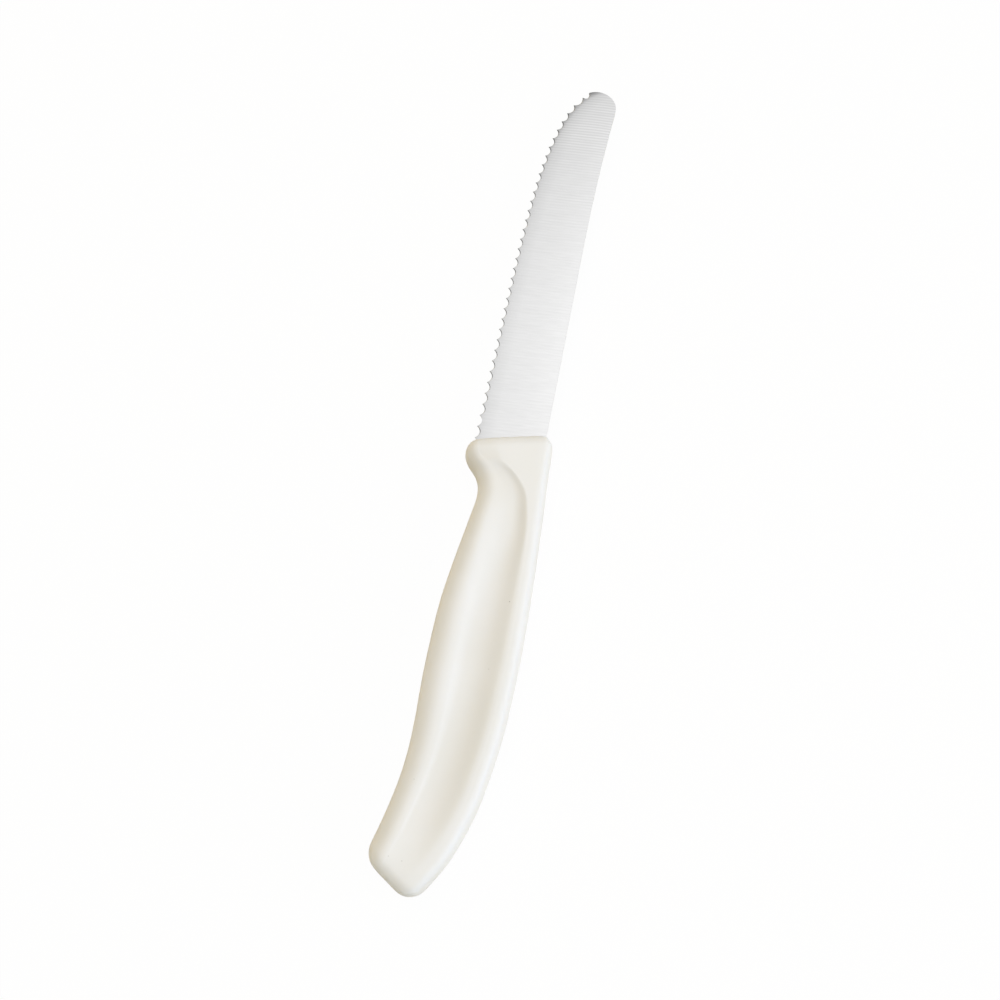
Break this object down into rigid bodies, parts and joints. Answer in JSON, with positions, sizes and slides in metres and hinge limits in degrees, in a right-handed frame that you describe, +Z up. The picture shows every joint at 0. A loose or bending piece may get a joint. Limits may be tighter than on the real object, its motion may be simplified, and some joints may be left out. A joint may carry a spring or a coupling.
{
  "type": "tomato knife",
  "caption": "Small serrated kitchen knife with a round-tipped, scalloped steel blade and a curved, moulded white handle with a finger scoop on each side.",
  "frame": {"origin": "middle of the knife's bounding box, on the surface that it lies on", "axes": "+X towards the blade's tip, +Y towards the cutting edge, +Z up, out of the knife's left side; the knife lies on its right side"},
  "size_m": [0.218, 0.0246, 0.013],
  "materials": {
    "blade_steel": "stainless steel, fine-ground across the blade",
    "handle_plastic": "off-white moulded polypropylene, satin"
  },
  "bodies": {
    "root": {"blade": "blade_steel", "handle": "handle_plastic"}
  },
  "joints": []
}
